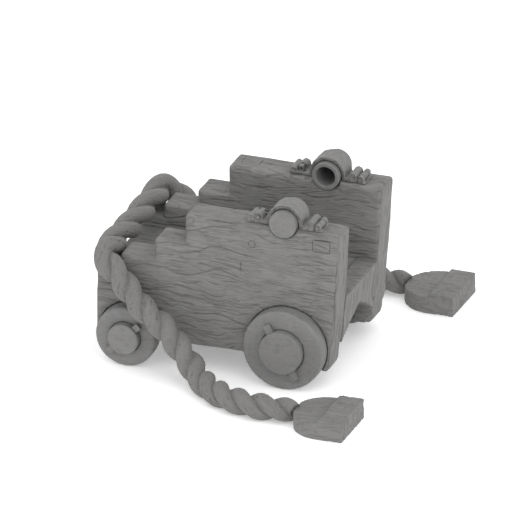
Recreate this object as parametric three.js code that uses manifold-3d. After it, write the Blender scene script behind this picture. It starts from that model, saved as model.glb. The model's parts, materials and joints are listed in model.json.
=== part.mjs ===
// Wooden truck carriage for a ship's gun, without its barrel, with its breeching rope.
// Frame: millimetres, +Z up, +X to the carriage's front, +Y to its left side, the middle plane at y = 0.
// The origin is on the ground under the middle of the carriage (rope and anchor blocks left out).
import * as THREE from 'three'
import { mergeVertices } from 'three/addons/utils/BufferGeometryUtils.js'
import Module from 'manifold-3d'

const wasm = await Module()
wasm.setup()

// ---- driving dimensions ----
const GAP = 0.3 // between pieces that touch
const SIDES = [['right', -1], ['left', 1]]

const CHEEK_IN = 182 // inner face of a cheek, from the middle plane
const CHEEK_OUT = 322 // outer face of a cheek
const CHEEK_TOP = 680
const CHEEK_BOTTOM = 109
const CHEEK_ROUND = 15 // rounding of the cheek's edges
const FOOT_Z = 72 // lower end of the cheek's front foot
const FOOT_ROUND = 28
const REAR_X = -515
// x and z of the leaning front edge, from the cheek's top to its foot
const FRONT_EDGE = [[522, CHEEK_TOP], [508, 410], [482, 146], [476, FOOT_Z + FOOT_ROUND]]
// each step of a cheek's top edge: where its rise stands and how high it goes
const STEPS = [[-411, 468], [-267, 552], [-135, CHEEK_TOP]]
const LEDGE_Z = 416 // lowest ledge, which carries the rope

const BED_TOP = 362
const BED_THICK = 60
const BED_REAR_X = -505
const TRANSOM_REAR_X = 413
const ARCH_APEX = 253
const ARCH_HAUNCH = 222
const ARCH_SIDE = 152

// x and z of the axle, truck radius, arm radius, linchpin half length and its tilt from the vertical
const AXLES = {
  fore: { x: 299, z: 170, truck: 170, arm: 91, pin: 128, tilt: 30 },
  hind: { x: -370, z: 127, truck: 127, arm: 65, pin: 92, tilt: -45 },
}
const TRUCK_Y = [300, 376] // inner and outer face of a truck
const TRUCK_BEVEL = 7
const BORE_CLEARANCE = 1.2
const WELL_CLEARANCE = 6 // round a truck, where it is let into the cheek
const WELL_FLOOR = 297.5
const ARM_END = 406
const PIN_Y = [378, 396]
const PIN_WIDTH = 30

const TRUNNION = { x: 283, z: 700, outer: 58, bore: 41 }
const BUSH_Y = [172, 330] // open inner end, closed outer end
const BUSH_WALL = 18
const CAP_Y = [214, 304]
const CAP_SHIFT = { right: 0, left: -20 } // the left cap square sits nearer to the middle
const CAP_INNER = 61
const CAP_OUTER = 75
const LUG_Z = [681, 694]
const LUG_REAR_X = 123
const HINGE = { x: 424, z: 699, knuckle: 13, pin: 5.5, plate: 4 }
const KNUCKLE_HALF = 20
const KEY = { x: 168, z: 703, radius: 7, length: 48, housing: 19 }
// round beads along Y on the lugs: x, z and radius
const BEADS = [[137, 698, 14], [390, 703, 17]]
const STUD_HALF = [9, 10] // half sizes of the stud along x and y
const STUD_TOP = 717

const ROPE_RADIUS = 52
const ROPE_SIDES = 10
const ROPE_STEPS = 52
const BLOCK = { x: 589, y: 648, nose: 134, flatX: 462, rearX: 701, noseZ: 72, headZ: 86, headX: 596 }

// Middle line of the breeching rope, from the right anchor block to the middle of the carriage's rear.
// The left half mirrors it.
const ROPE_ROUTE = [
  [461, -655, 53],
  [440, -655, 53],
  [398, -659, 53],
  [324, -665, 53],
  [225, -651, 53],
  [127, -614, 53],
  [74, -576, 53],
  [21, -532, 56],
  [-34, -478, 76],
  [-114, -440, 147],
  [-184, -416, 209],
  [-232, -410, 243],
  [-277, -408, 277],
  [-345, -390, 340],
  [-400, -382, 404],
  [-446, -374, 446],
  [-470, -334, 472],
  [-470, -252, 471],
  [-470, -110, 466],
  [-470, 0, 462],
]

// ---- materials ----
const looks = {
  oak: { color: 0x8f8a80, roughness: 0.85, metalness: 0 },
  elm: { color: 0x85807a, roughness: 0.85, metalness: 0 },
  iron: { color: 0x77787a, roughness: 0.6, metalness: 0.7 },
  hemp: { color: 0x938f86, roughness: 0.95, metalness: 0 },
}

const carriage = new THREE.Group()

function add(name, geometry, look, parent = carriage) {
  const mesh = new THREE.Mesh(geometry, new THREE.MeshStandardMaterial(looks[look]))
  mesh.name = name
  parent.add(mesh)
  return mesh
}

// ---- solids ----
function toSolid(geometry) {
  const bare = geometry.clone()
  bare.deleteAttribute('normal')
  bare.deleteAttribute('uv')
  const merged = mergeVertices(bare, 1e-3)
  const vertProperties = new Float32Array(merged.attributes.position.array)
  const triVerts = new Uint32Array(merged.index.array)
  return new wasm.Manifold(new wasm.Mesh({ numProp: 3, vertProperties, triVerts }))
}

function toGeometry(solid) {
  const mesh = solid.getMesh()
  const geometry = new THREE.BufferGeometry()
  geometry.setAttribute('position', new THREE.BufferAttribute(new Float32Array(mesh.vertProperties), 3))
  geometry.setIndex(new THREE.BufferAttribute(new Uint32Array(mesh.triVerts), 1))
  geometry.computeVertexNormals()
  return geometry
}

function combine(first, { plus = [], minus = [] }) {
  let solid = toSolid(first)
  for (const geometry of plus) solid = solid.add(toSolid(geometry))
  for (const geometry of minus) solid = solid.subtract(toSolid(geometry))
  return toGeometry(solid)
}

// A box from its low to its high value along each axis; y may run either way.
function block([x0, x1], [y0, y1], [z0, z1]) {
  const geometry = new THREE.BoxGeometry(x1 - x0, Math.abs(y1 - y0), z1 - z0)
  return geometry.translate((x0 + x1) / 2, (y0 + y1) / 2, (z0 + z1) / 2)
}

// A round bar along Y.
function bar(radius, [y0, y1], x, z, segments = 24) {
  const geometry = new THREE.CylinderGeometry(radius, radius, Math.abs(y1 - y0), segments)
  return geometry.translate(x, (y0 + y1) / 2, z)
}

// An outline in the XZ plane given a thickness along Y, with its edges rounded.
function slab(shape, [y0, y1], round = 0, curveSegments = 10) {
  const low = Math.min(y0, y1)
  const high = Math.max(y0, y1)
  const geometry = new THREE.ExtrudeGeometry(shape, {
    depth: high - low - 2 * round,
    curveSegments,
    bevelEnabled: round > 0,
    bevelSize: round,
    bevelThickness: round,
    bevelOffset: -round,
    bevelSegments: 2,
  })
  return geometry.rotateX(Math.PI / 2).translate(0, high - round, 0)
}

// A ring or disc turned about the Y axis; the profile holds pairs of radius and y.
function turned(profile, x, z, segments = 40) {
  const points = profile.map(([radius, y]) => new THREE.Vector2(radius, y))
  return new THREE.LatheGeometry([...points, points[0]], segments).translate(x, 0, z)
}

const span = (side, [a, b]) => [side * a, side * b]

// ---- cheeks ----
// The notch in the lower edge that an axletree's arm lies in, drawn towards the rear.
function armNotch(shape, axle) {
  const radius = axle.arm + 0.5
  shape.lineTo(axle.x + radius, CHEEK_BOTTOM)
  shape.lineTo(axle.x + radius, axle.z)
  shape.absarc(axle.x, axle.z, radius, 0, Math.PI, false)
  shape.lineTo(axle.x - radius, CHEEK_BOTTOM)
}

function cheekOutline() {
  const { x, z, outer } = TRUNNION
  const seat = outer + 0.5
  const seatAngle = Math.asin((z - CHEEK_TOP) / seat)
  const shape = new THREE.Shape()
  shape.moveTo(REAR_X, CHEEK_BOTTOM)
  shape.lineTo(REAR_X + 2, LEDGE_Z)
  let height = LEDGE_Z
  for (const [stepX, stepZ] of STEPS) {
    shape.lineTo(stepX, height)
    shape.lineTo(stepX, stepZ)
    height = stepZ
  }
  shape.lineTo(x - seat * Math.cos(seatAngle), CHEEK_TOP)
  shape.absarc(x, z, seat, Math.PI + seatAngle, 2 * Math.PI - seatAngle, false)
  for (const [edgeX, edgeZ] of FRONT_EDGE) shape.lineTo(edgeX, edgeZ)
  const [footX, footTop] = FRONT_EDGE.at(-1)
  shape.absarc(footX - FOOT_ROUND, footTop, FOOT_ROUND, 0, -Math.PI / 2, true)
  shape.lineTo(AXLES.fore.x + AXLES.fore.arm + 0.5, FOOT_Z)
  armNotch(shape, AXLES.fore)
  armNotch(shape, AXLES.hind)
  shape.closePath()
  return shape
}

// Oak pegs that pin each cheek's two planks: x, z and radius.
const PEGS = [[-111, 655, 14], [150, 594, 14]]
const PEG_DEPTH = 60
// Pieces of new wood let into the cheeks where the old was bad: side, box, and which way each faces.
const INLAYS = [
  { name: 'inlay_side', side: -1, box: [[410, 482], [-CHEEK_OUT, -304], [604, 652]] },
  { name: 'inlay_top', side: 1, box: [[-96, -22], [226, 284], [664, CHEEK_TOP]] },
]
const DOWELS = [
  { name: 'transom_dowel', x: 453, z: 305 },
  { name: 'hind_dowel', x: -370, z: 248 },
]
const DOWEL_RADIUS = 14
const DOWEL_END = 252

function grown([low, high]) {
  return [low - GAP, high + GAP]
}

function cheek(side) {
  const minus = []
  for (const axle of Object.values(AXLES)) {
    minus.push(bar(axle.truck + WELL_CLEARANCE, span(side, [WELL_FLOOR, CHEEK_OUT + 10]), axle.x, axle.z, 48))
  }
  for (const [x, z, radius] of PEGS) {
    minus.push(bar(radius + GAP, span(side, [CHEEK_OUT - PEG_DEPTH - GAP, CHEEK_OUT + 5]), x, z, 16))
  }
  for (const { x, z } of DOWELS) {
    minus.push(bar(DOWEL_RADIUS + GAP, span(side, [CHEEK_IN - 5, DOWEL_END + GAP]), x, z, 16))
  }
  for (const inlay of INLAYS) {
    if (inlay.side === side) minus.push(block(...inlay.box.map(grown)))
  }
  return combine(slab(cheekOutline(), span(side, [CHEEK_IN, CHEEK_OUT]), CHEEK_ROUND), { minus })
}

for (const [word, side] of SIDES) {
  add(`cheek_${word}`, cheek(side), 'oak')
  const pegY = span(side, [CHEEK_OUT - PEG_DEPTH, CHEEK_OUT])
  PEGS.forEach(([x, z, radius], i) => {
    add(`cheek_peg_${word}_${i + 1}`, bar(radius, pegY, x, z, 16), 'oak')
  })
}
for (const inlay of INLAYS) add(inlay.name, block(...inlay.box), 'oak')

// ---- transom, bed and bolsters ----
// x of the leaning front face at a height, between the cheeks' second and third front points.
function frontX(z) {
  const [[upperX, upperZ], [lowerX, lowerZ]] = FRONT_EDGE.slice(1, 3)
  return lowerX + ((upperX - lowerX) * (z - lowerZ)) / (upperZ - lowerZ)
}

function transom() {
  const half = CHEEK_IN - GAP
  const haunch = half * 0.45
  const shape = new THREE.Shape()
  shape.moveTo(-half, ARCH_SIDE)
  shape.quadraticCurveTo(-haunch, ARCH_HAUNCH, 0, ARCH_APEX)
  shape.quadraticCurveTo(haunch, ARCH_HAUNCH, half, ARCH_SIDE)
  shape.lineTo(half, BED_TOP)
  shape.lineTo(-half, BED_TOP)
  shape.closePath()
  const geometry = new THREE.ExtrudeGeometry(shape, { depth: 1, curveSegments: 6, bevelEnabled: false })
  geometry.rotateX(Math.PI / 2).rotateZ(Math.PI / 2)
  const corners = geometry.attributes.position
  for (let i = 0; i < corners.count; i += 1) {
    corners.setX(i, corners.getX(i) > 0.5 ? frontX(corners.getZ(i)) : TRANSOM_REAR_X)
  }
  return combine(geometry, {
    minus: [bar(DOWEL_RADIUS + GAP, [-half - 5, half + 5], DOWELS[0].x, DOWELS[0].z, 16)],
  })
}
add('front_transom', transom(), 'oak')

const PLANKS = 3
const PLANK_SEAM = 2
const plankWidth = (2 * (CHEEK_IN - GAP) - PLANK_SEAM * (PLANKS - 1)) / PLANKS
for (let i = 0; i < PLANKS; i += 1) {
  const low = -(CHEEK_IN - GAP) + i * (plankWidth + PLANK_SEAM)
  const long = [BED_REAR_X, TRANSOM_REAR_X - GAP]
  add(`bed_plank_${i + 1}`, block(long, [low, low + plankWidth], [BED_TOP - BED_THICK, BED_TOP]), 'oak')
}

const BOLSTER_HALF = { fore: 80, hind: 58 }
const bedUnder = BED_TOP - BED_THICK - GAP
for (const [end, axle] of Object.entries(AXLES)) {
  const half = CHEEK_IN - GAP
  const beamHalf = axle.arm + 1
  const bolster = block(
    [axle.x - BOLSTER_HALF[end], axle.x + BOLSTER_HALF[end]],
    [-half, half],
    [axle.z + beamHalf + GAP, bedUnder],
  )
  const dowelHole = bar(DOWEL_RADIUS + GAP, [-half - 5, half + 5], DOWELS[1].x, DOWELS[1].z, 16)
  add(`${end}_bolster`, combine(bolster, { minus: end === 'hind' ? [dowelHole] : [] }), 'oak')
}
for (const { name, x, z } of DOWELS) add(name, bar(DOWEL_RADIUS, [-DOWEL_END, DOWEL_END], x, z, 16), 'oak')

// ---- axletrees, trucks and linchpins ----
// A linchpin lies across the arm just outside the truck, tilted about the arm's axis.
function linchpin(axle, side, grow = 0) {
  const half = PIN_WIDTH / 2 + grow
  const length = axle.pin + grow * 10
  const geometry = block([-half, half], span(side, [PIN_Y[0] - grow, PIN_Y[1] + grow]), [-length, length])
  return geometry.rotateY(THREE.MathUtils.degToRad(-axle.tilt)).translate(axle.x, 0, axle.z)
}

function axletree(axle) {
  const half = axle.arm + 1
  const beam = block(
    [axle.x - half, axle.x + half],
    [-(CHEEK_IN - GAP), CHEEK_IN - GAP],
    [axle.z - half, axle.z + half],
  )
  return combine(beam, {
    plus: [bar(axle.arm, [-ARM_END, ARM_END], axle.x, axle.z, 40)],
    minus: SIDES.map(([, side]) => linchpin(axle, side, GAP)),
  })
}

function truck(axle, side) {
  const [inner, outer] = TRUCK_Y
  const bore = axle.arm + BORE_CLEARANCE
  const profile = [
    [bore, inner],
    [axle.truck - TRUCK_BEVEL, inner],
    [axle.truck, inner + TRUCK_BEVEL],
    [axle.truck, outer - TRUCK_BEVEL],
    [axle.truck - TRUCK_BEVEL, outer],
    [bore, outer],
  ]
  const right = side < 0
  const points = right ? profile.map(([radius, y]) => [radius, -y]).reverse() : profile
  return turned(points, axle.x, axle.z)
}

for (const [end, axle] of Object.entries(AXLES)) {
  add(`${end}_axletree`, axletree(axle), 'oak')
  for (const [word, side] of SIDES) {
    add(`truck_${end}_${word}`, truck(axle, side), 'elm')
    add(`linchpin_${end}_${word}`, linchpin(axle, side), 'iron')
  }
}

// ---- trunnion bushes and cap squares ----
function bush(side) {
  const [open, closed] = BUSH_Y
  const profile = [
    [0, closed],
    [TRUNNION.outer - 3, closed],
    [TRUNNION.outer, closed - 3],
    [TRUNNION.outer, open],
    [TRUNNION.bore, open],
    [TRUNNION.bore, closed - BUSH_WALL],
    [0, closed - BUSH_WALL],
  ]
  const points = (side < 0 ? profile.map(([radius, y]) => [radius, -y]) : profile.reverse())
  const lathe = new THREE.LatheGeometry(points.map(([radius, y]) => new THREE.Vector2(radius, y)), 32)
  return lathe.translate(TRUNNION.x, 0, TRUNNION.z)
}

function capOutline() {
  const { x, z } = TRUNNION
  const shape = new THREE.Shape()
  shape.moveTo(LUG_REAR_X, LUG_Z[0])
  shape.lineTo(LUG_REAR_X, LUG_Z[1])
  shape.lineTo(x - CAP_OUTER, LUG_Z[1])
  shape.absarc(x, z, CAP_OUTER, Math.PI, 0, true)
  shape.lineTo(x + CAP_OUTER, LUG_Z[1])
  shape.lineTo(HINGE.x - 16, LUG_Z[1])
  shape.lineTo(HINGE.x - 16, LUG_Z[0])
  shape.lineTo(x + CAP_INNER, LUG_Z[0])
  shape.absarc(x, z, CAP_INNER, 0, Math.PI, false)
  shape.lineTo(x - CAP_INNER, LUG_Z[0])
  shape.closePath()
  return shape
}

const capMiddle = (CAP_Y[0] + CAP_Y[1]) / 2
const studY = CAP_Y[0] + 22
const keyRest = [CAP_Y[1] - 6 - KEY.length, CAP_Y[1] - 6]
const housingY = [keyRest[0] + 2, keyRest[1] - 4]

// A ridge along Y on a lug: round above, and going down into the lug.
function ridge(side, y, [x, z, radius]) {
  const shape = new THREE.Shape()
  shape.moveTo(x - radius, LUG_Z[0] + 3)
  shape.lineTo(x - radius, z)
  shape.absarc(x, z, radius, Math.PI, 0, true)
  shape.lineTo(x + radius, LUG_Z[0] + 3)
  shape.closePath()
  return slab(shape, span(side, y), 0, 6)
}

function capSquare(side) {
  const knuckleY = span(side, [capMiddle - KNUCKLE_HALF, capMiddle + KNUCKLE_HALF])
  const plus = [
    bar(HINGE.knuckle, knuckleY, HINGE.x, HINGE.z, 20),
    block([HINGE.x - 26, HINGE.x], knuckleY, [HINGE.z - 8, HINGE.z]),
    ridge(side, housingY, [KEY.x, KEY.z, KEY.housing]),
    ...BEADS.map((bead) => ridge(side, [CAP_Y[0] + 3, CAP_Y[1] - 6], bead)),
  ]
  const minus = [
    bar(HINGE.pin + 0.4, span(side, [CAP_Y[0] - 20, CAP_Y[1] + 20]), HINGE.x, HINGE.z, 16),
    bar(KEY.radius + 0.6, span(side, [keyRest[0] - 6, CAP_Y[1] + 20]), KEY.x, KEY.z, 16),
    block(
      [KEY.x - STUD_HALF[0] - 5, KEY.x + STUD_HALF[0] + 6],
      span(side, [studY - STUD_HALF[1] - 2, studY + STUD_HALF[1] + 2]),
      [LUG_Z[0] - 5, LUG_Z[1] + 5],
    ),
  ]
  return combine(slab(capOutline(), span(side, CAP_Y)), { plus, minus })
}

function hingeBase(side) {
  const ear = (y) => {
    const shape = new THREE.Shape()
    shape.moveTo(HINGE.x - HINGE.knuckle, CHEEK_TOP + GAP)
    shape.lineTo(HINGE.x + HINGE.knuckle, CHEEK_TOP + GAP)
    shape.lineTo(HINGE.x + HINGE.knuckle, HINGE.z)
    shape.absarc(HINGE.x, HINGE.z, HINGE.knuckle, 0, Math.PI, false)
    shape.closePath()
    return slab(shape, span(side, y))
  }
  const plateTop = CHEEK_TOP + GAP + HINGE.plate
  const plate = block([HINGE.x - HINGE.knuckle, HINGE.x + 20], span(side, CAP_Y), [CHEEK_TOP + GAP, plateTop])
  return combine(plate, {
    plus: [
      ear([CAP_Y[0], capMiddle - KNUCKLE_HALF - 1]),
      ear([capMiddle + KNUCKLE_HALF + 1, CAP_Y[1]]),
    ],
    minus: [bar(HINGE.pin + 0.4, span(side, [CAP_Y[0] - 20, CAP_Y[1] + 20]), HINGE.x, HINGE.z, 16)],
  })
}

// The stud stands in the cheek, comes up through the rear lug and has an eye for the key.
function stud(side) {
  const y = span(side, [studY - STUD_HALF[1], studY + STUD_HALF[1]])
  const post = block([KEY.x - STUD_HALF[0], KEY.x + STUD_HALF[0]], y, [CHEEK_TOP + GAP, STUD_TOP])
  return combine(post, {
    minus: [bar(KEY.radius + 0.6, span(side, [studY - 30, studY + 30]), KEY.x, KEY.z, 16)],
  })
}

for (const [word, side] of SIDES) {
  const pin = bar(HINGE.pin, span(side, [CAP_Y[0] - 4, CAP_Y[1] + 4]), HINGE.x, HINGE.z, 16)
  const key = bar(KEY.radius, span(side, keyRest), KEY.x, KEY.z, 16)
  const fittings = {
    cap_square: capSquare(side),
    cap_hinge_base: hingeBase(side),
    cap_hinge_pin: pin,
    cap_stud: stud(side),
    cap_key: key,
  }
  add(`trunnion_bush_${word}`, bush(side), 'iron')
  for (const [name, geometry] of Object.entries(fittings)) {
    add(`${name}_${word}`, geometry.translate(0, CAP_SHIFT[word], 0), 'iron')
  }
}

// ---- breeching rope and its anchor blocks ----
function rope() {
  const half = ROPE_ROUTE.map(([x, y, z]) => new THREE.Vector3(x, y, z))
  const mirrored = half.slice(0, -1).reverse().map((p) => new THREE.Vector3(p.x, -p.y, p.z))
  const route = new THREE.CatmullRomCurve3([...half, ...mirrored], false, 'centripetal')
  const section = new THREE.Shape()
  for (let i = 0; i < ROPE_SIDES; i += 1) {
    const angle = ((i + 0.5) * 2 * Math.PI) / ROPE_SIDES
    const method = i === 0 ? 'moveTo' : 'lineTo'
    section[method](ROPE_RADIUS * Math.cos(angle), ROPE_RADIUS * Math.sin(angle))
  }
  section.closePath()
  return new THREE.ExtrudeGeometry(section, { steps: ROPE_STEPS, extrudePath: route, curveSegments: 1 })
}
add('breeching_rope', rope(), 'hemp')

// A D-shaped block: a round nose with a flat where the rope enters, and a higher square head.
function anchorBlock(side) {
  const { x, y, nose, flatX, rearX, noseZ, headZ, headX } = BLOCK
  const flatAngle = Math.acos((x - flatX) / nose)
  const plan = new THREE.Shape()
  plan.moveTo(rearX, -nose)
  plan.lineTo(rearX, nose)
  plan.lineTo(x, nose)
  plan.absarc(x, 0, nose, Math.PI / 2, Math.PI - flatAngle, false)
  plan.absarc(x, 0, nose, Math.PI + flatAngle, (3 * Math.PI) / 2, false)
  plan.closePath()
  const body = new THREE.ExtrudeGeometry(plan, { depth: noseZ, curveSegments: 10, bevelEnabled: false })
  const head = block([headX, rearX], [-nose, nose], [noseZ - 2, headZ])
  return combine(body, { plus: [head] }).translate(0, side * y, 0)
}
for (const [word, side] of SIDES) add(`anchor_block_${word}`, anchorBlock(side), 'oak')

export default carriage
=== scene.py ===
"""A ship's gun carriage in weathered timber, with forged fittings and a two-strand breeching rope.

Metres, +Z up, +X to the carriage's front, y = 0 in the middle plane.
"""
import json
import math

import bmesh
import bpy
import numpy as np
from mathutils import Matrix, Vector


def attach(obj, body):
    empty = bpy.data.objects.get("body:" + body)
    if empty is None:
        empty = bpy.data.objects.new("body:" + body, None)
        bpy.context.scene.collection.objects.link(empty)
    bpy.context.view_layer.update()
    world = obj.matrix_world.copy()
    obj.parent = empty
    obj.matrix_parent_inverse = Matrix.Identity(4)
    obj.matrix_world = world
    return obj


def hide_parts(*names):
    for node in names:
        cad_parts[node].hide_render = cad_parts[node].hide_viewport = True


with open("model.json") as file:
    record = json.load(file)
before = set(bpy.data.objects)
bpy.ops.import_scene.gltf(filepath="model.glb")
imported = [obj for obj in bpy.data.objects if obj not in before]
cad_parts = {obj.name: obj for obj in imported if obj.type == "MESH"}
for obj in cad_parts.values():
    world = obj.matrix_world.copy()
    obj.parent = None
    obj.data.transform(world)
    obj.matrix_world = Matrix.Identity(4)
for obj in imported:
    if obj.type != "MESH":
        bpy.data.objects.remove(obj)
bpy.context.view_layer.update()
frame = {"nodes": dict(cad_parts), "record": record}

SIDES = (("right", -1), ("left", 1))
BODY_OF = {node: body for body, nodes in frame["record"]["behaviour"]["bodies"].items() for node in nodes}


# ---- camera, floor and light ----
VIEW_AZIMUTH = math.radians(20.1)
VIEW_ELEVATION = math.radians(24.5)
VIEW_WIDTH = 2.048
VIEW_AIM = Vector((0.051, 0.0, 0.389))
VIEW_DISTANCE = 8.0
FLOOR_SIZE = 60
FLOOR_DROP = 0.0005
SKY_STRENGTH = 1.2
KEY_LIGHT = {"place": (2.6, -2.6, 4.0), "aim": (0, 0, 0.3), "size": 4.0, "power": 40}


def add_camera():
    back = Vector((
        math.sin(VIEW_AZIMUTH) * math.cos(VIEW_ELEVATION),
        -math.cos(VIEW_AZIMUTH) * math.cos(VIEW_ELEVATION),
        math.sin(VIEW_ELEVATION),
    ))
    data = bpy.data.cameras.new("camera")
    data.type = "ORTHO"
    data.ortho_scale = VIEW_WIDTH
    data.clip_end = 60
    camera = bpy.data.objects.new("camera", data)
    camera.rotation_mode = "QUATERNION"
    camera.location = VIEW_AIM + back * VIEW_DISTANCE
    camera.rotation_quaternion = (-back).to_track_quat("-Z", "Y")
    bpy.context.collection.objects.link(camera)
    bpy.context.scene.camera = camera


def add_floor():
    bpy.ops.mesh.primitive_plane_add(size=FLOOR_SIZE, location=(0, 0, -FLOOR_DROP))
    floor = bpy.context.object
    floor.name = "floor"
    material, _, _, shader = new_material("floor_paint")
    shader.inputs["Base Color"].default_value = (0.9, 0.9, 0.9, 1)
    shader.inputs["Roughness"].default_value = 0.95
    shader.inputs["Specular IOR Level"].default_value = 0.1
    shader.inputs["Emission Color"].default_value = (1, 1, 1, 1)
    shader.inputs["Emission Strength"].default_value = 0.28
    floor.data.materials.append(material)


def add_area_light(name, place, aim, size, power):
    data = bpy.data.lights.new(name, "AREA")
    data.shape = "DISK"
    data.size = size
    data.energy = power
    light = bpy.data.objects.new(name, data)
    light.location = place
    light.rotation_mode = "QUATERNION"
    light.rotation_quaternion = (Vector(aim) - Vector(place)).to_track_quat("-Z", "Y")
    bpy.context.collection.objects.link(light)


def add_lighting():
    world = bpy.data.worlds.new("soft_sky")
    world.use_nodes = True
    background = world.node_tree.nodes["Background"]
    background.inputs["Color"].default_value = (1, 1, 1, 1)
    background.inputs["Strength"].default_value = SKY_STRENGTH
    bpy.context.scene.world = world
    bpy.context.scene.view_settings.view_transform = "Standard"
    add_area_light("key", **KEY_LIGHT)


# ---- noise ----
def lattice(ix, iy, iz, seed):
    """A fixed random value from 0 to 1 at each lattice point."""
    mix = (ix * 73856093) ^ (iy * 19349663) ^ (iz * 83492791) ^ (seed * 40503)
    mix &= 0xFFFFFFFF
    mix = ((mix ^ (mix >> 15)) * 73244475) & 0xFFFFFFFF
    mix = ((mix ^ (mix >> 13)) * 73244475) & 0xFFFFFFFF
    return ((mix ^ (mix >> 16)) & 0xFFFFFF) / 0xFFFFFF


def noise(points, seed=0):
    """Smooth noise from 0 to 1, one feature per unit."""
    cell = np.floor(points).astype(np.int64)
    part = points - cell
    part = part * part * (3 - 2 * part)
    total = np.zeros(len(points))
    for corner in range(8):
        dx, dy, dz = corner & 1, (corner >> 1) & 1, corner >> 2
        weight = np.where(dx, part[:, 0], 1 - part[:, 0])
        weight = weight * np.where(dy, part[:, 1], 1 - part[:, 1])
        weight = weight * np.where(dz, part[:, 2], 1 - part[:, 2])
        total += weight * lattice(cell[:, 0] + dx, cell[:, 1] + dy, cell[:, 2] + dz, seed)
    return total


def layered_noise(points, octaves, seed=0):
    total = np.zeros(len(points))
    share = 0.5
    for octave in range(octaves):
        total += share * noise(points * 2 ** octave, seed + octave)
        share *= 0.5
    return total / (1 - 0.5 ** octaves)


def ramp(values, low, high):
    """0 below low, 1 above high, and smooth between."""
    share = np.clip((values - low) / (high - low), 0, 1)
    return share * share * (3 - 2 * share)


# ---- meshes ----
def points_of(mesh):
    flat = np.empty(len(mesh.vertices) * 3)
    mesh.vertices.foreach_get("co", flat)
    return flat.reshape(-1, 3)


def normals_of(mesh):
    flat = np.empty(len(mesh.vertices) * 3)
    mesh.vertex_normals.foreach_get("vector", flat)
    return flat.reshape(-1, 3)


def set_points(mesh, points):
    mesh.vertices.foreach_set("co", np.ascontiguousarray(points, dtype=np.float32).ravel())
    mesh.update()


def store_vector(mesh, name, values):
    attribute = mesh.attributes.new(name, "FLOAT_VECTOR", "POINT")
    attribute.data.foreach_set("vector", np.ascontiguousarray(values, dtype=np.float32).ravel())


def store_float(mesh, name, values):
    attribute = mesh.attributes.new(name, "FLOAT", "POINT")
    attribute.data.foreach_set("value", np.ascontiguousarray(values, dtype=np.float32))


def shown(name, mesh):
    piece = bpy.data.objects.new(name, mesh)
    bpy.context.collection.objects.link(piece)
    return piece


def apply_modifiers(piece):
    """Gives the piece the mesh that its modifiers make, and takes them off."""
    depsgraph = bpy.context.evaluated_depsgraph_get()
    mesh = bpy.data.meshes.new_from_object(piece.evaluated_get(depsgraph))
    piece.modifiers.clear()
    old = piece.data
    piece.data = mesh
    bpy.data.meshes.remove(old)
    return mesh


def add_smoothing(piece, iterations):
    modifier = piece.modifiers.new("relax", "SMOOTH")
    modifier.factor = 0.5
    modifier.iterations = iterations
    return modifier


def remeshed(piece, voxel, smoothing):
    """One even skin over the piece's closed shapes, with its edges softened."""
    grid = piece.modifiers.new("grid", "REMESH")
    grid.mode = "VOXEL"
    grid.voxel_size = voxel
    if smoothing:
        add_smoothing(piece, smoothing)
    mesh = apply_modifiers(piece)
    mesh.shade_smooth()
    return mesh


def relaxed(piece, iterations, held):
    """Softens a piece's edges, apart from the vertices that are held."""
    group = piece.vertex_groups.new(name="free")
    group.add(np.flatnonzero(~held).tolist(), 1.0, "REPLACE")
    add_smoothing(piece, iterations).vertex_group = group.name
    mesh = apply_modifiers(piece)
    piece.vertex_groups.clear()
    return mesh


def copy_of_node(node, name):
    """A loose copy of a CAD node with its corners welded."""
    mesh = frame["nodes"][node].data.copy()
    mesh.materials.clear()
    shape = bmesh.new()
    shape.from_mesh(mesh)
    bmesh.ops.remove_doubles(shape, verts=shape.verts, dist=1e-5)
    shape.to_mesh(mesh)
    shape.free()
    return shown(name, mesh)


def stand_for(piece, node, material):
    """Gives the piece its material, and its node's body and place."""
    piece.data.materials.clear()
    piece.data.materials.append(material)
    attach(piece, BODY_OF[node])
    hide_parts(node)


# ---- materials ----
def new_material(name):
    material = bpy.data.materials.new(name)
    material.use_nodes = True
    nodes = material.node_tree.nodes
    return material, nodes, material.node_tree.links, nodes["Principled BSDF"]


def read_attribute(nodes, name):
    attribute = nodes.new("ShaderNodeAttribute")
    attribute.attribute_name = name
    return attribute


def noise_texture(nodes, links, vector, scale, detail, roughness=0.5):
    texture = nodes.new("ShaderNodeTexNoise")
    texture.inputs["Scale"].default_value = scale
    texture.inputs["Detail"].default_value = detail
    texture.inputs["Roughness"].default_value = roughness
    links.new(vector, texture.inputs["Vector"])
    return texture.outputs["Fac"]


def stretched(nodes, links, flow, scale):
    mapping = nodes.new("ShaderNodeMapping")
    mapping.inputs["Scale"].default_value = scale
    links.new(flow.outputs["Vector"], mapping.inputs["Vector"])
    return mapping.outputs["Vector"]


def two_tones(nodes, links, amount, low, dark, light):
    """A dark tone up to an amount of low, a light one from 0.7, and a blend between."""
    tones = nodes.new("ShaderNodeValToRGB")
    first, last = tones.color_ramp.elements
    first.position = low
    first.color = (*dark, 1)
    last.position = 0.7
    last.color = (*light, 1)
    links.new(amount, tones.inputs["Fac"])
    return tones.outputs["Color"]


def darkened(nodes, links, colour, amount, tint):
    """A colour multiplied by a tint as far as an amount says."""
    mix = nodes.new("ShaderNodeMix")
    mix.data_type = "RGBA"
    mix.blend_type = "MULTIPLY"
    mix.inputs["B"].default_value = (*tint, 1)
    links.new(amount, mix.inputs["Factor"])
    links.new(colour, mix.inputs["A"])
    return mix.outputs["Result"]


def vary_roughness(nodes, links, shader, amount, roughest, smoothest):
    roughness = nodes.new("ShaderNodeMapRange")
    roughness.inputs["To Min"].default_value = roughest
    roughness.inputs["To Max"].default_value = smoothest
    links.new(amount, roughness.inputs["Value"])
    links.new(roughness.outputs["Result"], shader.inputs["Roughness"])


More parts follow.
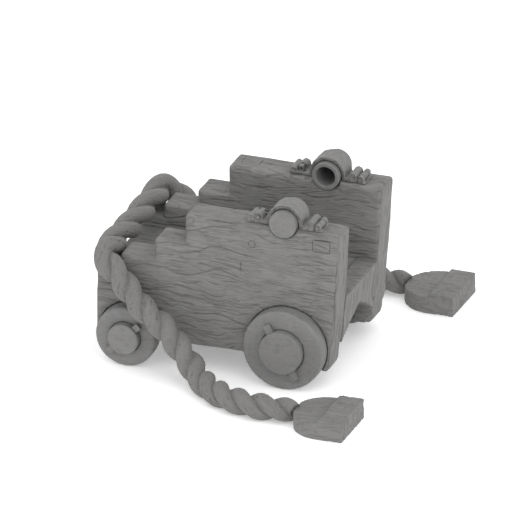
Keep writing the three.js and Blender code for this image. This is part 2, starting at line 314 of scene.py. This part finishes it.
def add_bump(nodes, links, shader, height, strength, depth):
    bump = nodes.new("ShaderNodeBump")
    bump.inputs["Strength"].default_value = strength
    bump.inputs["Distance"].default_value = depth
    links.new(height, bump.inputs["Height"])
    links.new(bump.outputs["Normal"], shader.inputs["Normal"])
    return bump


def line_texture(nodes, links, flow, scale):
    """Thin wavy lines along the grain, 1 on a line: where a stretched noise is at its middle value."""
    texture = noise_texture(nodes, links, stretched(nodes, links, flow, scale), 1, 2)
    middle = nodes.new("ShaderNodeMath")
    middle.operation = "SUBTRACT"
    middle.inputs[1].default_value = 0.5
    links.new(texture, middle.inputs[0])
    distance = nodes.new("ShaderNodeMath")
    distance.operation = "ABSOLUTE"
    links.new(middle.outputs["Value"], distance.inputs[0])
    line = nodes.new("ShaderNodeMapRange")
    line.interpolation_type = "SMOOTHSTEP"
    line.inputs["From Min"].default_value = 0.0
    line.inputs["From Max"].default_value = 0.07
    line.inputs["To Min"].default_value = 1.0
    line.inputs["To Max"].default_value = 0.0
    links.new(distance.outputs["Value"], line.inputs["Value"])
    return line.outputs["Result"]


def wood_material(name, dark, light, line_tint, line_depth):
    """Weathered timber: fine wavy grain lines, painted shade in the cracks, pits, seams and splits, with
    soft patches of tone.
    """
    material, nodes, links, shader = new_material(name)
    flow = read_attribute(nodes, "flow")
    lines = line_texture(nodes, links, flow, (7, 95, 9))
    hairs = line_texture(nodes, links, flow, (16, 260, 23))
    place = nodes.new("ShaderNodeTexCoord").outputs["Object"]
    patches = noise_texture(nodes, links, place, 7, 6, 0.6)
    grained = two_tones(nodes, links, patches, 0.3, dark, light)
    grained = darkened(nodes, links, grained, lines, (line_tint, line_tint, line_tint))
    grained = darkened(nodes, links, grained, hairs, (0.95, 0.945, 0.94))
    # Painted shade: darker in the cracks, pits, seams and splits that carve marks.
    painted_shade = read_attribute(nodes, "painted_shade").outputs["Fac"]
    grained = darkened(nodes, links, grained, painted_shade, (0.72, 0.71, 0.70))
    links.new(grained, shader.inputs["Base Color"])
    vary_roughness(nodes, links, shader, patches, 0.95, 0.78)
    shader.inputs["Specular IOR Level"].default_value = 0.2
    height = nodes.new("ShaderNodeMath")
    height.operation = "MULTIPLY_ADD"
    height.inputs[1].default_value = 0.4
    links.new(hairs, height.inputs[0])
    links.new(lines, height.inputs[2])
    add_bump(nodes, links, shader, height.outputs["Value"], 0.7, line_depth).invert = True
    return material


def iron_material():
    """Forged iron with a dull oxide skin, rubbed brighter in places, pitted, with painted shade in its pits
    and on its side faces.
    """
    material, nodes, links, shader = new_material("forged_iron")
    place = nodes.new("ShaderNodeTexCoord").outputs["Object"]
    scale = noise_texture(nodes, links, place, 45, 6, 0.7)
    rusted = two_tones(nodes, links, scale, 0.32, (0.165, 0.163, 0.160), (0.205, 0.203, 0.200))
    # Painted shade: darker in the pits and on the side faces.
    painted_shade = read_attribute(nodes, "painted_shade").outputs["Fac"]
    rusted = darkened(nodes, links, rusted, painted_shade, (0.62, 0.61, 0.6))
    links.new(rusted, shader.inputs["Base Color"])
    shader.inputs["Metallic"].default_value = 0.25
    vary_roughness(nodes, links, shader, scale, 0.82, 0.55)
    pits = nodes.new("ShaderNodeTexVoronoi")
    pits.inputs["Scale"].default_value = 150
    links.new(place, pits.inputs["Vector"])
    depth = nodes.new("ShaderNodeMix")
    depth.data_type = "FLOAT"
    depth.inputs["Factor"].default_value = 0.5
    links.new(scale, depth.inputs["A"])
    links.new(pits.outputs["Distance"], depth.inputs["B"])
    add_bump(nodes, links, shader, depth.outputs["Result"], 0.45, 0.0015)
    return material


def hemp_material():
    """Laid hemp: fine yarns along each strand, with painted shade in the lay and in the pits."""
    material, nodes, links, shader = new_material("hemp")
    flow = read_attribute(nodes, "flow")
    yarns = noise_texture(nodes, links, stretched(nodes, links, flow, (60, 420, 1)), 1, 4)
    shaded = two_tones(nodes, links, yarns, 0.3, (0.158, 0.155, 0.150), (0.212, 0.208, 0.202))
    # Painted shade: darker in the lay between the strands and in the pits.
    painted_shade = read_attribute(nodes, "painted_shade").outputs["Fac"]
    shaded = darkened(nodes, links, shaded, painted_shade, (0.6, 0.59, 0.58))
    links.new(shaded, shader.inputs["Base Color"])
    vary_roughness(nodes, links, shader, yarns, 1.0, 0.85)
    shader.inputs["Specular IOR Level"].default_value = 0.15
    shader.inputs["Sheen Weight"].default_value = 0.1
    add_bump(nodes, links, shader, yarns, 0.6, 0.002)
    return material


# ---- breeching rope ----
STRAND_RADIUS = 0.0325
# How far each strand's middle lies from the rope's.
STRAND_OFFSET = 0.0222
# Length of one full turn of the strands, along the sides and across the rear.
LAY_LENGTH = 0.208
REAR_LAY_LENGTH = 0.330
# The rear stretch reaches this far each way along the rope, and blends into the sides over twice the blend.
REAR_HALF = 0.36
REAR_BLEND = 0.10
# Turn of the strands at the right anchor block.
FIRST_TURN = 0.9
# The rope draws in to this share of its thickness over its last stretch, where it enters each block.
END_SHARE = 0.86
END_STRETCH = 0.13
ROPE_STEP = 0.006
ROPE_VOXEL = 0.0032
STRAND_SIDES = 28
# Middle line from the right anchor block to the middle of the rear; the left half mirrors it.
ROPE_ROUTE = [
    (0.461, -0.655, 0.053),
    (0.440, -0.655, 0.053),
    (0.398, -0.659, 0.053),
    (0.324, -0.665, 0.053),
    (0.225, -0.651, 0.053),
    (0.127, -0.614, 0.053),
    (0.074, -0.576, 0.053),
    (0.021, -0.532, 0.056),
    (-0.034, -0.478, 0.076),
    (-0.114, -0.440, 0.147),
    (-0.184, -0.416, 0.209),
    (-0.232, -0.410, 0.243),
    (-0.277, -0.408, 0.277),
    (-0.345, -0.390, 0.340),
    (-0.400, -0.382, 0.404),
    (-0.446, -0.374, 0.446),
    (-0.470, -0.334, 0.472),
    (-0.470, -0.252, 0.471),
    (-0.470, -0.110, 0.466),
    (-0.470, 0.0, 0.462),
]


def smooth_route(route, step):
    """Points a step apart on the centripetal Catmull-Rom curve through both halves, and its length."""
    half = np.array(route)
    whole = np.vstack([half, (half * (1, -1, 1))[-2::-1]])
    ends = np.vstack([2 * whole[0] - whole[1], whole, 2 * whole[-1] - whole[-2]])
    knots = np.concatenate([[0], np.cumsum(np.sqrt(np.linalg.norm(np.diff(ends, axis=0), axis=1)))])
    dense = []
    for i in range(1, len(ends) - 2):
        t0, t1, t2, t3 = knots[i - 1:i + 3]
        p0, p1, p2, p3 = ends[i - 1:i + 3]
        for t in np.linspace(t1, t2, 40, endpoint=False):
            a1 = ((t1 - t) * p0 + (t - t0) * p1) / (t1 - t0)
            a2 = ((t2 - t) * p1 + (t - t1) * p2) / (t2 - t1)
            a3 = ((t3 - t) * p2 + (t - t2) * p3) / (t3 - t2)
            b1 = ((t2 - t) * a1 + (t - t0) * a2) / (t2 - t0)
            b2 = ((t3 - t) * a2 + (t - t1) * a3) / (t3 - t1)
            dense.append(((t2 - t) * b1 + (t - t1) * b2) / (t2 - t1))
    dense.append(whole[-1])
    dense = np.array(dense)
    travelled = np.concatenate([[0], np.cumsum(np.linalg.norm(np.diff(dense, axis=0), axis=1))])
    length = travelled[-1]
    wanted = np.linspace(0, length, int(round(length / step)) + 1)
    return np.column_stack([np.interp(wanted, travelled, dense[:, k]) for k in range(3)]), length


def frames_along(line):
    """Tangents, and two directions across the line that turn as little as they can."""
    tangents = np.gradient(line, axis=0)
    tangents /= np.linalg.norm(tangents, axis=1)[:, None]
    first = np.cross(tangents[0], (0, 0, 1))
    first /= np.linalg.norm(first)
    firsts = [first]
    for tangent in tangents[1:]:
        first = first - tangent * np.dot(first, tangent)
        first = first / np.linalg.norm(first)
        firsts.append(first)
    firsts = np.array(firsts)
    return tangents, firsts, np.cross(tangents, firsts)


def tube(line, radii, sides):
    """Vertices and faces of a closed tube along a line."""
    _, across, up = frames_along(line)
    count = len(line)
    angles = np.arange(sides) * 2 * math.pi / sides
    rings = line[:, None, :] + radii[:, None, None] * (
        np.cos(angles)[None, :, None] * across[:, None, :] + np.sin(angles)[None, :, None] * up[:, None, :]
    )
    vertices = rings.reshape(-1, 3)
    faces = []
    for i in range(count - 1):
        for k in range(sides):
            after = (k + 1) % sides
            faces.append((i * sides + k, i * sides + after, (i + 1) * sides + after, (i + 1) * sides + k))
    faces.append(tuple(range(sides))[::-1])
    faces.append(tuple((count - 1) * sides + k for k in range(sides)))
    return vertices, faces


def rope_taper(along, length):
    """How thick the rope is: it draws in where it enters each block."""
    from_end = np.minimum(along, length - along)
    return END_SHARE + (1 - END_SHARE) * ramp(from_end, 0.0, END_STRETCH)


def strand_phase(along, length):
    """The turn of the two strands about the middle line, slacker across the carriage's rear."""
    steps = np.linspace(-0.2, length + 0.2, 2001)
    from_middle = np.abs(steps - length / 2)
    on_side = ramp(from_middle, REAR_HALF - REAR_BLEND, REAR_HALF + REAR_BLEND)
    lay = REAR_LAY_LENGTH + (LAY_LENGTH - REAR_LAY_LENGTH) * on_side
    rate = 2 * math.pi / lay
    turned = np.cumsum(rate) * (steps[1] - steps[0])
    return np.interp(along, steps, turned) + FIRST_TURN


def build_rope(material):
    line, length = smooth_route(ROPE_ROUTE, ROPE_STEP)
    along = np.linspace(0, length, len(line))
    tangents, across, up = frames_along(line)
    taper = rope_taper(along, length)
    vertices = []
    faces = []
    for strand in range(2):
        phase = strand_phase(along, length) + strand * math.pi
        offset = (STRAND_OFFSET * taper)[:, None]
        centre = line + offset * (np.cos(phase)[:, None] * across + np.sin(phase)[:, None] * up)
        some_vertices, some_faces = tube(centre, STRAND_RADIUS * taper, STRAND_SIDES)
        start = len(vertices)
        vertices.extend(some_vertices)
        faces.extend(tuple(start + index for index in face) for face in some_faces)
    mesh = bpy.data.meshes.new("breeching_rope_laid")
    mesh.from_pydata([tuple(vertex) for vertex in vertices], [], faces)
    mesh.update()
    piece = shown("breeching_rope_laid", mesh)
    mesh = remeshed(piece, ROPE_VOXEL, 1)
    finish_rope(mesh, line, along, tangents, across, up, taper)
    stand_for(piece, "breeching_rope", material)
    return piece, line, length


def nearest_index(points, line):
    """The index of the line's point nearest each point, looked for in slices."""
    nearest = np.empty(len(points), dtype=np.int64)
    squares = (line * line).sum(axis=1)
    for start in range(0, len(points), 20000):
        part = points[start:start + 20000]
        nearest[start:start + 20000] = np.argmin(squares[None, :] - 2 * part @ line.T, axis=1)
    return nearest


def places_on_strands(points, line, along, tangents, across, up, taper):
    """For each point: how far along the rope, the turn about its strand, which strand, and the reach
    from the rope's middle as a share of its taper."""
    index = nearest_index(points, line)
    out = points - line[index]
    place = along[index] + (out * tangents[index]).sum(axis=1)
    phase = strand_phase(place, along[-1])
    a = (out * across[index]).sum(axis=1)
    b = (out * up[index]).sum(axis=1)
    strand = np.where(a * np.cos(phase) + b * np.sin(phase) > 0, 0.0, math.pi)
    centre_a = STRAND_OFFSET * taper[index] * np.cos(phase + strand)
    centre_b = STRAND_OFFSET * taper[index] * np.sin(phase + strand)
    around = np.arctan2(b - centre_b, a - centre_a) - phase
    return place, around, strand, np.hypot(a, b) / taper[index]


def finish_rope(mesh, *strands):
    """Presses yarns and pits into the strands, notes where each point lies on its strand, and marks painted
    shade in the lay and the pits.
    """
    points = points_of(mesh)
    place, around, strand, reach = places_on_strands(points, *strands)
    coords = np.column_stack([place * 42, np.cos(around) * 7 + strand, np.sin(around) * 7])
    yarn = place * 34 + around * 3.5
    ridges = np.cos(yarn * 2.0 * math.pi / 1.4)
    rough = layered_noise(coords * 2.2, 3, 11) - 0.5
    patch = ramp(noise(coords * (0.35, 0.4, 0.4), 19), 0.35, 0.65)
    pits = ramp(noise(coords * (4.2, 1.6, 1.6), 17), 0.66, 0.84) * patch
    lift = 0.0004 * ridges + 0.0034 * rough - 0.0026 * pits
    # The underside, where the rope lies on the floor, stays as it is.
    lift[points[:, 2] < 0.004] = 0
    points = points + normals_of(mesh) * lift[:, None]
    points[:, 2] = np.maximum(points[:, 2], 0.0004)
    set_points(mesh, points)
    store_vector(mesh, "flow", np.column_stack([place, around * 0.03 + strand, np.zeros(len(place))]))
    # Painted shade in the groove between the strands and in the pits.
    groove = ramp(0.040 - reach, 0.0, 0.016)
    store_float(mesh, "painted_shade", np.clip(groove + 0.8 * pits, 0, 1))


# ---- timber ----
# Faces whose normals lean at least this much forward or back show their grain upright.
END_FACE = 0.72
# How the grain strays to the side, in broad waves and in small ones.
WANDER = {"swing": 0.042, "along": 0.19, "across": 0.11}
RIPPLE = {"swing": 0.007, "along": 0.055, "across": 0.03}


def grain_of(points, normals, seed):
    """Distances along and across the grain, and a number that sets end faces apart from the others."""
    ends = np.abs(normals[:, 0]) > END_FACE
    x, y, z = points.T
    side = -1 if y.mean() < -0.01 else 1
    along = np.where(ends, z, x)
    across = np.where(ends, y, z - side * y)
    depth = np.where(ends, 5.0 + 0.3 * x, 0.0)
    broad = np.column_stack([along / WANDER["along"], across / WANDER["across"], depth])
    across = across + WANDER["swing"] * (layered_noise(broad, 2, seed) - 0.5)
    small = np.column_stack([along / RIPPLE["along"], across / RIPPLE["across"], depth])
    across = across + RIPPLE["swing"] * (noise(small, seed + 7) - 0.5)
    return along, across, depth


# Depth of the seams and splits that are cut into the cheeks, and the stretch over which their ends fade.
GROOVE_DEPTH = 0.004
GROOVE_FADE = 0.02
# The adze's unevenness, and the size of pits.
HEWN_DEPTH = 0.0030
HEWN_SIZE = 0.055
PIT_SIZE = 0.016
# Layers of cracks: length of a dash along the grain, spacing, half width, how rare they are, and depth.
CRACKS = [
    (0.17, 0.036, 0.0044, 0.66, 0.0038),
    (0.10, 0.019, 0.0036, 0.63, 0.0027),
    (0.06, 0.011, 0.0030, 0.62, 0.0018),
]


def dashes(along, across, depth, length, spacing, half_width, least, seed):
    """Wavy lines along the grain, each broken into dashes; 1 in the middle of a line."""
    sway = noise(np.column_stack([along / (0.8 * length), across / (4 * spacing), depth]), seed)
    row = across / spacing + 1.6 * sway
    cell = np.floor(row)
    off = np.abs(row - cell - 0.5) * spacing
    place = np.column_stack([along / length + 17.3 * cell, cell, np.floor(depth)])
    here = ramp(noise(place, seed + 1), least, least + 0.16)
    half = half_width * (0.45 + 0.55 * here)
    return (1 - ramp(off, 0.25 * half, half)) * here


def grain_depth(along, across, depth, seed):
    """How far the weathered surface lies under the sawn one, and how much of it is a crack."""
    broad = noise(np.column_stack([along / 0.22, across / 0.10, depth]), seed + 30)
    fine = noise(np.column_stack([along / 0.09, across / 0.009, depth]), seed + 20)
    low = 0.0016 * (broad - 0.5) + 0.0008 * (fine - 0.5)
    crack = np.zeros(len(along))
    for layer, (length, spacing, half_width, least, deep) in enumerate(CRACKS):
        rarity = least + 0.10 * (0.5 - broad)
        line = dashes(along, across, depth, length, spacing, half_width, rarity, seed + 40 + 5 * layer)
        low = low - deep * line
        crack = np.maximum(crack, line)
    return low, crack


def round_profile_corner(points, corner, radius, towards):
    """Rounds one corner of the side outline; towards gives the signs of x and z that point out of it."""
    centre_x = corner[0] - towards[0] * radius
    centre_z = corner[1] - towards[1] * radius
    dx = (points[:, 0] - centre_x) * towards[0]
    dz = (points[:, 2] - centre_z) * towards[1]
    reach = np.hypot(dx, dz)
    outside = (dx > 0) & (dz > 0) & (reach > radius)
    shrink = np.where(outside, radius / np.maximum(reach, 1e-9), 1)
    points[:, 0] = np.where(outside, centre_x + towards[0] * dx * shrink, points[:, 0])
    points[:, 2] = np.where(outside, centre_z + towards[1] * dz * shrink, points[:, 2])


def carve(piece, seed, strength=1.0, grooves=None, rough=0.0):
    """Gives a timber its hewn, grained and cracked surface, and marks painted shade in its cracks, pits,
    seams and splits; rough is the depth of pits across the grain.
    """
    mesh = piece.data
    points = points_of(mesh)
    normals = normals_of(mesh)
    along, across, depth = grain_of(points, normals, seed)
    low, crack = grain_depth(along, across, depth, seed)
    hewn = HEWN_DEPTH * (noise(points / HEWN_SIZE, seed + 90) - 0.5)
    pits = ramp(layered_noise(points / PIT_SIZE, 3, seed + 95), 0.56, 0.72)
    low = (low + hewn) * strength - rough * pits
    crack = np.maximum(crack * strength, 0.35 * pits * (rough > 0))
    if grooves is not None:
        cut = grooves(points, normals)
        low = low - GROOVE_DEPTH * cut
        crack = np.maximum(crack, cut)
    points = points + normals * low[:, None]
    points[:, 2] = np.maximum(points[:, 2], 0.0)
    set_points(mesh, points)
    store_vector(mesh, "flow", np.column_stack([along, across, depth]))
    # Painted shade: the cracks, pits, seams and splits are marked to be drawn darker.
    store_float(mesh, "painted_shade", np.clip(crack, 0, 1))


def build_timber(node, seed, material, voxel=0.004, smoothing=3, strength=1.0, rough=0.0):
    piece = copy_of_node(node, node + "_timber")
    remeshed(piece, voxel, smoothing)
    carve(piece, seed, strength, rough=rough)
    stand_for(piece, node, material)


# Corners of a cheek's side outline: where, how round, and which way each points.
CHEEK_CORNERS = [
    ((0.521, 0.680), 0.026, (1, 1)),
    ((-0.135, 0.680), 0.018, (-1, 1)),
    ((-0.267, 0.552), 0.018, (-1, 1)),
    ((-0.411, 0.468), 0.018, (-1, 1)),
    ((-0.513, 0.416), 0.018, (-1, 1)),
]
CHEEK_VOXEL = 0.0036
CHEEK_SMOOTHING = 44
# Where each pair of trucks stands, and its radius.
TRUCKS = [(0.299, 0.170), (-0.370, 0.127)]
# The cheek's skin comes this near a truck, and is drawn in this far at most.
WELL_GAP = 0.003
WELL_PULL = 0.005
TRUNNION_X = 0.283
TRUNNION_Z = 0.700
# How far round a bush, a peg and an inlay the cheek's edges stay crisp.
BUSH_REACH = 0.068
PEG_REACH = 0.018
INLAY_MARGIN = 0.008
# Beyond this y lies a cheek's outer side, and above this z its top.
OUTER_Y = 0.300
TOP_Z = 0.66
CHEEK_PEGS = [(-0.111, 0.655), (0.150, 0.594)]
SIDE_INLAY = ((0.410, 0.482), (0.604, 0.652))
TOP_INLAY = ((-0.096, -0.022), (0.226, 0.284))
# The seam inside a cheek, over the bed: how high, and from where to where.
BED_SEAM = {"z": 0.376, "rear": -0.40, "front": 0.47}
# Splits in the right cheek: one in its front edge, and a short one in its outer side.
FRONT_SPLIT = {"y": 0.296, "foot": 0.460, "top": 0.615}
SIDE_SPLIT = {"x": 0.105, "foot": 0.452, "top": 0.520}


def near_box(first, second, box, margin):
    """True for points within a margin of a rectangle."""
    (first_low, first_high), (second_low, second_high) = box
    inside_first = (first > first_low - margin) & (first < first_high + margin)
    return inside_first & (second > second_low - margin) & (second < second_high + margin)


def cheek_held(points, word):
    """The vertices round pegs, inlays and the trunnion bush, whose edges stay crisp."""
    x, y, z = points.T
    outer = np.abs(y) > OUTER_Y
    held = np.hypot(x - TRUNNION_X, z - TRUNNION_Z) < BUSH_REACH
    for peg_x, peg_z in CHEEK_PEGS:
        held |= outer & (np.hypot(x - peg_x, z - peg_z) < PEG_REACH)
    if word == "right":
        held |= outer & near_box(x, z, SIDE_INLAY, INLAY_MARGIN)
    else:
        held |= (z > TOP_Z) & near_box(x, y, TOP_INLAY, INLAY_MARGIN)
    return held


def line_cut(across, along, low, high, width):
    """A groove of a width where across is near 0, between two places along it."""
    ends = ramp(along, low, low + GROOVE_FADE) * (1 - ramp(along, high - GROOVE_FADE, high))
    return (1 - ramp(np.abs(across), 0.3 * width, width)) * ends


def waver(along, wave, swing, seed):
    """How far a seam or split strays from straight, at each place along it."""
    still = np.zeros(len(along))
    return swing * (noise(np.column_stack([along / wave, still, still]), seed) - 0.5)


def cheek_grooves(word, side, seed):
    """The function that says how deep each point of a cheek lies in its seam and splits."""
    def cut(points, normals):
        x, y, z = points.T
        inner = -side * normals[:, 1] > 0.6
        off = z - BED_SEAM["z"] - waver(x, 0.11, 0.006, seed)
        seam = line_cut(off, x, BED_SEAM["rear"], BED_SEAM["front"], 0.006) * inner
        if word == "left":
            return seam
        lean = waver(z, 0.05, 0.005, seed + 1)
        front = normals[:, 0] > 0.25
        off = np.abs(y) - FRONT_SPLIT["y"] - lean
        front_split = line_cut(off, z, FRONT_SPLIT["foot"], FRONT_SPLIT["top"], 0.005) * front
        outer = normals[:, 1] < -0.6
        off = x - SIDE_SPLIT["x"] - 1.5 * lean
        side_split = line_cut(off, z, SIDE_SPLIT["foot"], SIDE_SPLIT["top"], 0.004) * outer
        return np.maximum(seam, np.maximum(front_split, side_split))
    return cut


def close_wells(points):
    """Draws the softened edge of each truck's recess back towards the truck."""
    for truck_x, radius in TRUCKS:
        dx = points[:, 0] - truck_x
        dz = points[:, 2] - radius
        reach = np.hypot(dx, dz)
        over = reach - (radius + WELL_GAP)
        shift = np.clip(over, 0, WELL_PULL) * (1 - ramp(over, 0.007, 0.014))
        points[:, 0] -= shift * dx / np.maximum(reach, 1e-6)
        points[:, 2] -= shift * dz / np.maximum(reach, 1e-6)


def build_cheek(word, side, seed, material):
    piece = copy_of_node("cheek_" + word, "cheek_%s_timber" % word)
    mesh = remeshed(piece, CHEEK_VOXEL, 0)
    mesh = relaxed(piece, CHEEK_SMOOTHING, cheek_held(points_of(mesh), word))
    points = points_of(mesh)
    for corner, radius, towards in CHEEK_CORNERS:
        round_profile_corner(points, corner, radius, towards)
    close_wells(points)
    set_points(mesh, points)
    carve(piece, seed, 1.0, cheek_grooves(word, side, seed))
    stand_for(piece, "cheek_" + word, material)


def build_timbers(oak, elm, block_oak):
    for i, (word, side) in enumerate(SIDES):
        build_cheek(word, side, 100 + 40 * i, oak)
        for peg in (1, 2):
            build_timber("cheek_peg_%s_%d" % (word, peg), 500 + peg, oak, 0.002, 2, 0.2)
    for i, name in enumerate(("inlay_side", "inlay_top")):
        build_timber(name, 550 + i, oak, 0.002, 3, 0.4)
    build_timber("front_transom", 200, oak, 0.0036, 10)
    for i in (1, 2, 3):
        build_timber("bed_plank_%d" % i, 220 + i, oak, 0.004, 2, 0.5)
    for i, name in enumerate(("fore_bolster", "hind_bolster", "transom_dowel", "hind_dowel")):
        build_timber(name, 240 + i, oak, 0.005, 1, 0.5)
    for i, name in enumerate(("fore_axletree", "hind_axletree")):
        build_timber(name, 260 + i, elm, 0.0036, 3, 0.2, 0.0006)
    for i, end in enumerate(("fore", "hind")):
        for j, (word, _) in enumerate(SIDES):
            build_timber("truck_%s_%s" % (end, word), 300 + 2 * i + j, elm, 0.0036, 5, 0.25, 0.0004)
    for i, (word, _) in enumerate(SIDES):
        build_timber("anchor_block_" + word, 400 + i, block_oak, 0.0032, 8, 0.6, 0.0026)


# ---- ironwork ----
# Each side's fittings: first seed, voxel, smoothing, depth of dents, and depth of pits on side faces.
CAP_FITTINGS = {
    "trunnion_bush": (700, 0.0022, 3, 0.002, 0.0),
    "cap_square": (710, 0.0022, 4, 0.006, 0.0016),
    "cap_hinge_base": (720, 0.0022, 2, 0.002, 0.0010),
    "cap_hinge_pin": (730, 0.001, 2, 0.0004, 0.0),
    "cap_stud": (740, 0.0012, 3, 0.001, 0.0),
    "cap_key": (750, 0.001, 2, 0.0004, 0.0),
}
LINCHPIN = (760, 0.0022, 6, 0.003, 0.0)


def build_iron(node, material, side_index, first_seed, voxel, smoothing, dent_depth, pit_depth):
    """A forged piece: hammered all over, and stippled on its side faces if it has pits; painted shade
    darkens the pits and the side faces.
    """
    piece = copy_of_node(node, node + "_forged")
    mesh = remeshed(piece, voxel, smoothing)
    points = points_of(mesh)
    normals = normals_of(mesh)
    seed = first_seed + side_index
    dents = layered_noise(points / 0.022, 3, seed) - 0.5
    on_side = ramp(np.abs(normals[:, 1]), 0.5, 0.8) * (pit_depth > 0)
    pits = ramp(noise(points / 0.007, seed + 9), 0.50, 0.72) * on_side
    set_points(mesh, points + normals * (dent_depth * dents - pit_depth * pits)[:, None])
    # Painted shade: darker in the pits, and over the side faces as a whole.
    store_float(mesh, "painted_shade", np.clip(0.8 * pits + 0.4 * on_side, 0, 1))
    stand_for(piece, node, material)


def build_ironwork(iron):
    for i, (word, _) in enumerate(SIDES):
        for fitting, finish in CAP_FITTINGS.items():
            build_iron("%s_%s" % (fitting, word), iron, i, *finish)
        for end in ("fore", "hind"):
            build_iron("linchpin_%s_%s" % (end, word), iron, i, *LINCHPIN)


# ---- scene ----
add_camera()
add_floor()
add_lighting()
oak = wood_material("oak", (0.194, 0.192, 0.189), (0.220, 0.218, 0.214), 0.86, 0.0016)
elm = wood_material("elm", (0.194, 0.192, 0.190), (0.216, 0.214, 0.212), 0.95, 0.0005)
rope, rope_line, rope_length = build_rope(hemp_material())
block_oak = wood_material("block_oak", (0.184, 0.182, 0.180), (0.214, 0.212, 0.209), 0.95, 0.0008)
build_timbers(oak, elm, block_oak)
build_ironwork(iron_material())
